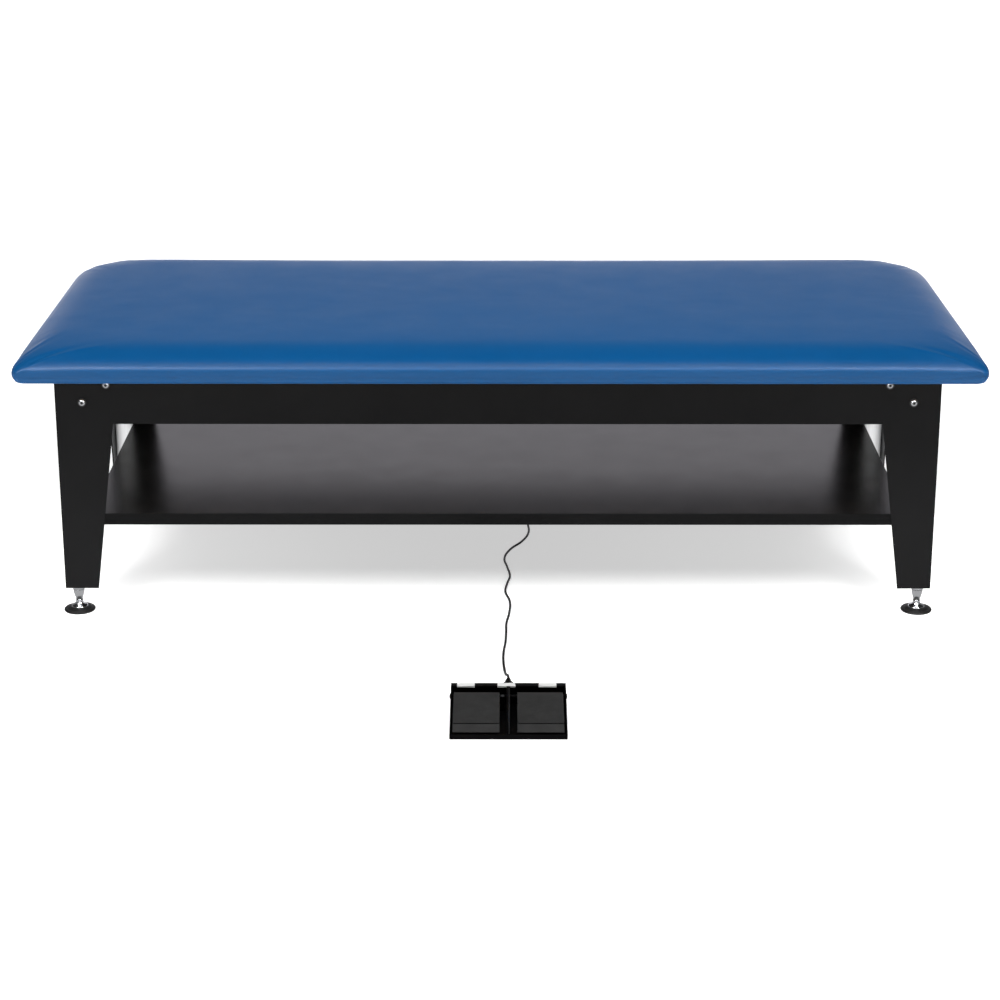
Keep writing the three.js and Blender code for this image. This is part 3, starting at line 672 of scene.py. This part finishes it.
def make_corner_bolts():
    profile, hexed = button_profile()
    for name, sx, sy in CORNERS:
        washers_and_socket_shade = bmesh.new()
        bm = bmesh.new()
        face = sy * (HALF_DEPTH + 0.0003) + TABLE_Y
        back = sy * (HALF_DEPTH - 0.0076) + TABLE_Y
        centres = [(sx * (HALF_LENGTH - inset), z) for inset, z in BOLT_PLACES]
        for x, z in centres:
            add_lathe(bm, profile, (x, face, z), (0, sy, 0), 36, hexed)
            add_lathe(washers_and_socket_shade, WASHER, (x, face, z), (0, sy, 0), 36)
            # a black disc in the socket: painted shade
            add_lathe(washers_and_socket_shade, SOCKET_SHADE_DISC, (x, face, z), (0, sy, 0), 36, (1, 2))
            shank = [(0, 0), (0.0035, 0), (0.0035, abs(face - back)), (0, abs(face - back))]
            add_lathe(bm, shank, (x, back, z), (0, sy, 0), 16)
        (x0, z0), (x1, z1) = centres
        turn = Matrix.Rotation(-math.atan2(z1 - z0, x1 - x0), 4, "Y")
        centre = ((x0 + x1) / 2, back - sy * 0.0025, (z0 + z1) / 2)
        add_block(bm, centre, (math.hypot(x1 - x0, z1 - z0) + 0.018, 0.005, 0.014), 0.0008, turn)
        piece(bm, f"{name}_button_bolts", CHROME, "table_frame", (f"{name}_bolts",))
        bm = bmesh.new()
        for inset, z in BOLT_PLACES:
            y = sy * (HALF_DEPTH - inset) + TABLE_Y
            add_lathe(bm, profile, (sx * (HALF_LENGTH + 0.0002), y, z), (sx, 0, 0), 36, hexed)
            add_lathe(washers_and_socket_shade, WASHER, (sx * (HALF_LENGTH + 0.0002), y, z), (sx, 0, 0), 36)
            # a black disc in the socket: painted shade
            add_lathe(washers_and_socket_shade, SOCKET_SHADE_DISC, (sx * (HALF_LENGTH + 0.0002), y, z), (sx, 0, 0), 36, (1, 2))
        piece(bm, f"{name}_end_bolts", CHROME, "table_frame")
        piece(washers_and_socket_shade, f"{name}_washers", FOOT_RUBBER, "table_frame")


# ---- lift columns and feet ----
def make_columns():
    for name, sx, sy in CORNERS:
        x, y = sx * AXIS_X, sy * AXIS_Y + TABLE_Y
        bm = bmesh.new()
        tube = [
            (0.0131, 0.060), (0.0194, 0.060), (0.020, 0.0606), (0.020, 0.4234), (0.0194, 0.424),
            (0.017, 0.424), (0.017, 0.080), (0.0131, 0.080), (0.0131, 0.060),
        ]
        add_lathe(bm, tube, (x, y, 0), segments=64)
        bmesh.ops.remove_doubles(bm, verts=bm.verts, dist=1e-6)
        piece(bm, f"{name}_outer_tube", TUBE_SILVER, "table_frame", (f"{name}_tube",))

        bm = bmesh.new()
        rod = [
            (0, 0.084), (0.0083, 0.084), (0.0083, 0.049), (0.0092, 0.0483), (0.0119, 0.0483),
            (0.0127, 0.0491), (0.0127, 0.3992), (0.0119, 0.400), (0.0066, 0.400), (0.0066, 0.380),
            (0.009, 0.380), (0.009, 0.092), (0, 0.092),
        ]
        add_lathe(bm, rod, (x, y, 0), segments=64)
        piece(bm, f"{name}_lift_rod", CHROME, "floor_stand", (f"{name}_rod",))

        bm = bmesh.new()
        add_lathe(bm, spindle_profile(), (x, y, 0), segments=24)
        piece(bm, f"{name}_lead_screw", ZINC, f"{name}_screw", (f"{name}_spindle",))
        make_foot(name, x, y)
        make_gearmotor(name, sx, sy)


def spindle_profile():
    profile = [(0, 0.100), (0.0045, 0.100)]
    z = 0.102
    while z < 0.372:
        profile += [(0.0052, z), (0.0060, z + 0.0012), (0.0060, z + 0.0024), (0.0052, z + 0.0036)]
        z += 0.005
    return profile + [(0.0060, 0.378), (0.0060, 0.439), (0.0055, 0.440), (0, 0.440)]


def make_foot(name, x, y):
    """The levelling stem with its threads and dished foot, and the rubber pad under it."""
    bm = bmesh.new()
    stem = [(0, 0.0093), (0.0168, 0.0093), (0.0175, 0.0100), (0.0172, 0.0113), (0.0150, 0.0126)]
    stem += [(0.0110, 0.0139), (0.0090, 0.0160), (0.0079, 0.0190), (0.0075, 0.0215), (0.0075, 0.0225)]
    z = 0.0230
    while z < 0.0265:
        stem += [(0.0069, z), (0.0075, z + 0.0006)]
        z += 0.00125
    stem += [(0.0075, 0.0275), (0.0090, 0.0320), (0.0108, 0.0385), (0.0117, 0.0425), (0.0121, 0.0450)]
    stem += [(0.0121, 0.0476), (0.0080, 0.0480)]
    z = 0.0485
    while z < 0.0765:
        stem += [(0.0074, z), (0.0080, z + 0.0007), (0.0080, z + 0.0010)]
        z += 0.00175
    stem += [(0.0074, 0.0775), (0.0066, 0.0780), (0, 0.0780)]
    add_lathe(bm, stem, (x, y, 0), segments=56)
    piece(bm, f"{name}_stem", CHROME, f"{name}_foot", (f"{name}_levelling_stem",))

    bm = bmesh.new()
    pad = [(0, 0), (0.0305, 0), (0.0318, 0.0004), (0.0327, 0.0014), (0.0330, 0.0026), (0.0326, 0.0040)]
    pad += [(0.0316, 0.0050), (0.0300, 0.0056), (0.0270, 0.0064), (0.0262, 0.0060), (0.0255, 0.0066)]
    pad += [(0.0225, 0.0082), (0.0205, 0.0089), (0.0186, 0.0090), (0.0182, 0.0088), (0, 0.0088)]
    add_lathe(bm, pad, (x, y, 0), segments=72)
    piece(bm, f"{name}_rubber_foot", FOOT_RUBBER, f"{name}_foot", (f"{name}_foot_pad",))


def make_gearmotor(name, sx, sy):
    """A cast gearbox on the column's head, with its motor can lying along the frame."""
    bm = bmesh.new()
    inner_x, inner_y = HALF_LENGTH - 0.003 - 0.004 - 0.001, HALF_DEPTH - 0.003 - 0.004 - 0.007
    width, depth, low, high = 0.056, 0.044, 0.436, 0.5164
    centre = (sx * (inner_x - width / 2), sy * (inner_y - depth / 2) + TABLE_Y, (low + high) / 2)
    add_block(bm, centre, (width, depth, high - low), 0.003, segments=3)
    cover = (centre[0] - sx * 0.001, centre[1] - sy * (depth / 2), centre[2])
    add_block(bm, cover, (width - 0.010, 0.003, high - low - 0.012), 0.0012)
    for dx in (-0.018, 0.018):
        for dz in (-0.029, 0.029):
            head = [(0, 0), (0.003, 0), (0.003, 0.0014), (0.0024, 0.002), (0, 0.002)]
            place = (cover[0] + dx, cover[1] - sy * 0.0014, cover[2] + dz)
            add_lathe(bm, head, place, (0, -sy, 0), 20)
    x, y = sx * AXIS_X, sy * AXIS_Y + TABLE_Y
    collar = [(0.0066, 0), (0.0192, 0), (0.020, 0.0008), (0.020, 0.0122), (0.0066, 0.0122), (0.0066, 0)]
    add_lathe(bm, collar, (x, y, 0.4243), segments=48)
    can = [(0, 0), (0.0210, 0), (0.0210, 0.014), (0.0202, 0.015), (0.0202, 0.088), (0.0210, 0.089)]
    can += [(0.0210, 0.101), (0.0196, 0.104), (0.0105, 0.104), (0.0100, 0.1106), (0.0094, 0.111), (0, 0.111)]
    add_lathe(bm, can, (sx * (inner_x - width + 0.001), centre[1], 0.466), (-sx, 0, 0), 48)
    piece(bm, f"{name}_motor", MOTOR_GREY, "table_frame", (f"{name}_gearmotor",))


# ---- steelwork ----
def make_steelwork():
    for node in ("front_panel", "rear_panel", "left_end_panel", "right_end_panel"):
        softened(node, POWDER_COAT, "table_frame", 0.0009)
    softened("shelf", POWDER_COAT, "table_frame", 0.0008)
    for end in ("left", "right"):
        softened(f"{end}_cross_rail", POWDER_COAT, "table_frame", 0.0008)
    for name, _, _ in CORNERS:
        softened(f"{name}_shelf_bracket", POWDER_COAT, "table_frame", 0.0008)
        softened(f"{name}_bracket", ZINC, "table_frame", 0.0008)
    softened("top_board", PLYWOOD, "table_frame", 0.0006, 1)


# ---- control box, its inlet and gland, and the wiring loom ----
BOX_X, BOX_Y, BOX_BOTTOM = 0.100, 0.2725, 0.440


def make_control_box():
    softened("control_box", BOX_PLASTIC, "table_frame", 0.0018, 3)
    softened("control_box_lid", BOX_PLASTIC, "table_frame", 0.0010)
    softened("power_inlet", BOX_PLASTIC, "table_frame", 0.0010)
    bm = bmesh.new()
    for dx, dy in ((-0.005, 0.003), (0.005, 0.003), (0.0, -0.003)):
        place = (0.045 + dx, 0.245 + dy + TABLE_Y, 0.432)
        add_block(bm, place, (0.0015, 0.0035, 0.0125), 0.0004)
    piece(bm, "inlet_pins", ZINC, "table_frame")
    profile, hexed = button_profile(0.0045, 0.0026, 0.0016, 0.0016)
    bm = bmesh.new()
    for dx in (-0.080, 0.080):
        for dy in (-0.062, 0.062):
            place = (BOX_X + dx, BOX_Y + dy + TABLE_Y, BOX_BOTTOM - 0.0001)
            add_lathe(bm, profile, place, (0, 0, -1), 28, hexed)
    piece(bm, "control_box_screws", ZINC, "table_frame")

    bm = bmesh.new()
    top = BOX_BOTTOM - 0.0003
    gland = [(0, 0), (0.0076, 0), (0.0080, 0.0006), (0.0080, 0.0076), (0.0074, 0.0082)]
    for i in range(6):
        z, r = 0.0090 + 0.0026 * i, 0.0070 - 0.00035 * i
        gland += [(r, z), (r, z + 0.0014), (r - 0.0007, z + 0.0018), (r - 0.0007, z + 0.0024)]
    gland += [(0.0045, 0.0250), (0.0040, 0.0260), (0, 0.0260)]
    add_lathe(bm, gland, (GLAND[0], GLAND[1] + TABLE_Y, top), (0, 0, -1), 40)
    piece(bm, "lead_outlet_gland", CABLE, "table_frame", ("lead_gland",))


def make_loom():
    """Four woven-sleeved cables, one to each motor, that meet in one run across the frame."""
    z, run_y, half = 0.466, 0.180, 0.0036
    end = HALF_LENGTH - 0.008 - 0.056 - 0.104 - 0.007 - 0.0043
    reach = HALF_DEPTH - 0.014 - 0.022
    bend = 0.018

    def rounded(points):
        route = [points[0]]
        for before, at, after in zip(points, points[1:], points[2:]):
            at = Vector(at)
            for other in (before, after):
                route.append(tuple(at + (Vector(other) - at).normalized() * bend))
        return [(x, y + TABLE_Y, z) for x, y in [p[:2] for p in route + [points[-1]]]]

    splines = []
    for sx in (-1, 1):
        splines.append(rounded([(sx * end, -reach), (sx * end, run_y), (BOX_X, run_y)]))
        splines.append(rounded([(sx * end, reach), (sx * end, run_y), (sx * (end - 0.1), run_y)]))
    splines.append(rounded([(BOX_X, run_y - 0.002), (BOX_X, 0.1997)]))
    loom = curve_piece("wiring_loom", splines, half, SLEEVE)
    settle(loom, "table_frame", ("motor_loom",))
    bm = bmesh.new()
    for x in (-0.60, -0.30, -0.05, 0.25, 0.60):
        hoop = [(half + 0.0004, 0), (half + 0.0012, 0), (half + 0.0012, 0.010), (half + 0.0004, 0.010)]
        add_lathe(bm, hoop + hoop[:1], (x, run_y + TABLE_Y, z), (1, 0, 0), 24)
        add_block(bm, (x + 0.005, run_y + TABLE_Y, z + 0.031), (0.010, 0.0012, 0.054), 0)
    bmesh.ops.remove_doubles(bm, verts=bm.verts, dist=1e-6)
    piece(bm, "loom_clips", ZINC, "table_frame")


# ---- foot switch ----
FOLD_SHADE_ROD = ((0, 0), (0.0011, 0), (0.0011, 0.0876), (0, 0.0876))  # a black rod laid along the fold across a treadle, on its side: painted shade in the fold


SPRING_TURNS, SPRING_STEPS = 3, 16
SPRING_RADIUS, SPRING_LENGTH = 0.0044, 0.0066


def make_foot_switch():
    softened("switch_base", SWITCH_BLACK, "floor_stand", 0.0009)
    for end, sx in (("left", -1), ("right", 1)):
        softened(f"{end}_treadle", TREADLE_GREY, f"{end}_pedal", 0.0007)
        middle = SWITCH_X + sx * (0.017 + 0.044)
        coil = []
        for i in range(SPRING_TURNS * SPRING_STEPS + 1):
            angle = 2 * math.pi * i / SPRING_STEPS
            x = middle + (i / (SPRING_TURNS * SPRING_STEPS) - 0.5) * SPRING_LENGTH
            y = PIVOT[0] + TABLE_Y + SPRING_RADIUS * math.cos(angle)
            coil.append((x, y, PIVOT[1] + SPRING_RADIUS * math.sin(angle)))
        bm = bmesh.new()
        inner, outer = SWITCH_X + sx * 0.0172, SWITCH_X + sx * 0.1048
        # a black rod along the treadle's fold: painted shade
        add_lathe(bm, FOLD_SHADE_ROD, (min(inner, outer), -1.014 + TABLE_Y, 0.0242), (1, 0, 0), 12)
        piece(bm, f"{end}_treadle_fold_shade", SWITCH_BLACK, f"{end}_pedal")
        spring = curve_piece(f"{end}_torsion_spring", [coil], 0.0007, ZINC)
        settle(spring, f"{end}_pedal", (f"{end}_treadle_spring",))

    bm = bmesh.new()
    half = 0.111
    pin = [(0, -half - 0.0022), (0.0040, -half - 0.0020), (0.0050, -half - 0.0012), (0.0050, -half - 0.0003)]
    pin += [(0.0030, -half - 0.0003)]
    pin += [(r, -z) for r, z in reversed(pin)]
    add_lathe(bm, pin, (SWITCH_X, PIVOT[0] + TABLE_Y, PIVOT[1]), (1, 0, 0), 32)
    piece(bm, "treadle_pin", SWITCH_BLACK, "floor_stand", ("hinge_pin",))

    bm = bmesh.new()
    for dx in (-0.082, -0.004, 0.0755):
        centre = (SWITCH_X + dx, SWITCH_REAR - 0.0085 + TABLE_Y, 0.0453)
        add_block(bm, centre, (0.034, 0.0150, 0.0006), 0.0002)
        lip = (SWITCH_X + dx, SWITCH_REAR - 0.0163 + TABLE_Y, 0.0440)
        add_block(bm, lip, (0.034, 0.0006, 0.0032), 0.0002)
    piece(bm, "blank_labels", LABEL, "floor_stand")

    bm = bmesh.new()
    # a thin grey strip along the top of the middle rib: a painted highlight
    slope = math.atan2(0.035, 0.151)
    middle = (SWITCH_X + 0.0012, (-0.883 - 1.034) / 2 + TABLE_Y, 0.0277)
    add_block(bm, middle, (0.0012, 0.150, 0.0006), 0.0002, Matrix.Rotation(slope, 4, "X"))
    piece(bm, "rib_highlight_strip", MOTOR_GREY, "floor_stand")

    bm = bmesh.new()
    rivet = [(0, 0), (0.0032, 0), (0.0032, 0.0005), (0.0027, 0.0014), (0.0014, 0.0020), (0, 0.0022)]
    tab = (SWITCH_X - 0.0115, PIVOT[0] - 0.004 + TABLE_Y, 0.0175)
    add_lathe(bm, rivet, (tab[0], tab[1], 0.0325), segments=24)
    piece(bm, "tab_rivet", MOTOR_GREY, "floor_stand")
    bm = bmesh.new()
    add_block(bm, tab, (0.0085, 0.0100, 0.0300), 0.0006)
    piece(bm, "rivet_tab", SWITCH_BLACK, "floor_stand")

    bm = bmesh.new()
    foot, height, length = RELIEF
    relief = [(0, 0), (0.0124, 0), (0.0130, 0.0010), (0.0130, 0.0070), (0.0122, 0.0085), (0.0104, 0.0100)]
    for i in range(9):
        z, r = 0.0112 + 0.0035 * i, 0.0098 - 0.00066 * i
        relief += [(r, z), (r, z + 0.0019), (r - 0.0010, z + 0.0023), (r - 0.0010, z + 0.0031)]
    relief += [(0.0041, length - 0.001), (0.0036, length), (0, length)]
    add_lathe(bm, relief, (SWITCH_X, foot + TABLE_Y, height), (0, 1, 0), 40)
    piece(bm, "cable_strain_relief", CABLE, "floor_stand", ("switch_strain_relief",))


# ---- floor, light and surroundings ----
def make_stage():
    bm = bmesh.new()
    bmesh.ops.create_grid(bm, x_segments=4, y_segments=4, size=40.0)
    mesh = bpy.data.meshes.new("floor")
    bm.to_mesh(mesh)
    bm.free()
    floor = bpy.data.objects.new("floor", mesh)
    scene.collection.objects.link(floor)
    n = Nodes("pale_floor")
    n.set(
        Base_Color=(0.86, 0.86, 0.86, 1), Roughness=0.9, Specular_IOR_Level=0.0,
        Emission_Color=(1, 1, 1, 1),
    )
    # The floor glows by itself, as painted light that keeps it white. The glow is 0.54 within 1.2 m of its
    # middle, under the table, and rises to 1.05 at 3 m: a painted pool of shade round the table.
    away = n.add("ShaderNodeVectorMath", operation="LENGTH")
    n.link(n.place, away.inputs[0])
    floor_glow_with_painted_shade = n.spread(away.outputs["Value"], 0.54, 1.05, (1.2, 3.0))
    n.link(floor_glow_with_painted_shade, n.shader.inputs["Emission Strength"])
    # the floor has only its upper side, so that the table can be looked at from below
    mix = n.add("ShaderNodeMixShader")
    n.link(n.add("ShaderNodeNewGeometry").outputs["Backfacing"], mix.inputs[0])
    n.link(n.shader.outputs["BSDF"], mix.inputs[1])
    n.link(n.add("ShaderNodeBsdfTransparent").outputs["BSDF"], mix.inputs[2])
    n.link(mix.outputs["Shader"], n.tree.nodes["Material Output"].inputs["Surface"])
    mesh.materials.append(n.material)
    floor.visible_glossy = False
    return floor


def make_backdrop():
    """White surroundings far behind the floor, all round, that only the camera sees."""
    bm = bmesh.new()
    bmesh.ops.create_cone(bm, cap_ends=True, segments=64, radius1=39.0, radius2=39.0, depth=60.0)
    mesh = bpy.data.meshes.new("backdrop")
    bm.to_mesh(mesh)
    bm.free()
    backdrop = bpy.data.objects.new("backdrop", mesh)
    scene.collection.objects.link(backdrop)
    n = Nodes("white_backdrop")
    n.set(
        Base_Color=(0, 0, 0, 1), Specular_IOR_Level=0.0,
        Emission_Color=(1, 1, 1, 1), Emission_Strength=1.05,
    )
    mesh.materials.append(n.material)
    backdrop.visible_diffuse = backdrop.visible_glossy = backdrop.visible_shadow = False


def make_world():
    """Pale surroundings near the horizon, darker overhead."""
    world = bpy.data.worlds.new("studio")
    scene.world = world
    world.use_nodes = True
    tree = world.node_tree
    place = tree.nodes.new("ShaderNodeTexCoord")
    split = tree.nodes.new("ShaderNodeSeparateXYZ")
    ramp = tree.nodes.new("ShaderNodeValToRGB")
    tree.links.new(place.outputs["Generated"], split.inputs["Vector"])
    tree.links.new(split.outputs["Z"], ramp.inputs["Fac"])
    stops = ((0.0, 0.50), (0.012, 0.11), (0.18, 0.12), (0.27, 0.28), (0.37, 0.28), (0.47, 0.03))
    while len(ramp.color_ramp.elements) < len(stops):
        ramp.color_ramp.elements.new(1.0)
    for element, (position, level) in zip(ramp.color_ramp.elements, stops):
        element.position = position
        element.color = (level, level, level, 1)
    tree.links.new(ramp.outputs["Color"], tree.nodes["Background"].inputs["Color"])


def softbox(name, place, target, size, power, seen_by="all"):
    """An area light that shows in gloss only, in matt shading only, or in both."""
    data = bpy.data.lights.new(name, "AREA")
    data.shape = "RECTANGLE"
    data.size, data.size_y = size
    data.energy = power
    light = bpy.data.objects.new(name, data)
    scene.collection.objects.link(light)
    light.location = place
    light.rotation_euler = (Vector(target) - Vector(place)).to_track_quat("-Z", "Y").to_euler()
    light.visible_glossy = seen_by != "matt"
    light.visible_diffuse = seen_by != "gloss"
    light.visible_camera = False
    return light


def link_to(light, group, state):
    """Makes a light reach only a group of objects, or all but that group."""
    light.light_linking.receiver_collection = group
    for member in group.collection_objects:
        member.light_linking.link_state = state


def group_of(name, members):
    group = bpy.data.collections.new(name)
    for member in members:
        group.objects.link(member)
    return group


def make_lights(floor):
    target = (0, TABLE_Y, 0.4)
    only, all_but = group_of("floor_only", [floor]), group_of("all_but_floor", [floor])
    for side, sx in (("left", -1), ("right", 1)):
        key = softbox(f"floor_key_{side}", (sx * 2.2, -3.5, 4.2), target, (1.4, 2.6), 255, "matt")
        link_to(key, only, "INCLUDE")
        softbox(f"side_gloss_{side}", (sx * 2.7, -3.6, 3.4), (sx * 1.5, -0.1, 0.57), (1.9, 1.8), 175, "gloss")
    softbox("front_gloss", (0, -3.6, 3.4), (0, -0.1, 0.57), (3.4, 1.8), 62, "gloss")
    top = softbox("top_key", (0, -1.2, 5.0), target, (4.2, 2.0), 290, "matt")
    link_to(top, all_but, "EXCLUDE")
    card = softbox("back_card", (0, 1.25, 0.36), (0, 0, 0.36), (2.8, 0.64), 5.6, "gloss")
    card.data.color = (1.0, 0.965, 1.05)
    tubes = group_of("tubes", [o for o in scene.objects if o.name.endswith("_outer_tube")])
    fill = softbox("tube_fill", (0, -3.0, 0.3), (0, TABLE_Y, 0.3), (3.0, 0.6), 150, "matt")
    link_to(fill, tubes, "INCLUDE")
    fill.light_linking.blocker_collection = tubes
    shiny = group_of("shiny", [o for o in scene.objects if o.name.endswith(("_bolts", "_stem"))])
    link_to(softbox("chrome_glint", (0, -4.5, 1.0), target, (4.4, 1.5), 46, "gloss"), shiny, "INCLUDE")
    steel = group_of("steel_panels", [o for o in scene.objects if o.name.endswith("_panel_body")])
    for side, sx in (("left", -1), ("right", 1)):
        leg, front = sx * 0.87, -0.45
        bounce = softbox(
            f"leg_bounce_{side}", (leg, front, 0.03), (leg, -0.1, 0.16), (0.4, 0.2), 1.6, "matt"
        )
        link_to(bounce, steel, "INCLUDE")
        x = sx * 0.99
        end = softbox(f"floor_end_{side}", (x, 0.05, 0.30), (x, 0.05, 0), (0.42, 0.9), 1.5, "matt")
        link_to(end, only, "INCLUDE")
        end.light_linking.blocker_collection = only


make_camera()
make_lead()
make_cushion()
make_staples()
make_corner_bolts()
make_columns()
make_steelwork()
make_control_box()
make_loom()
make_foot_switch()
make_backdrop()
make_world()
make_lights(make_stage())
scene.view_settings.view_transform = "Standard"
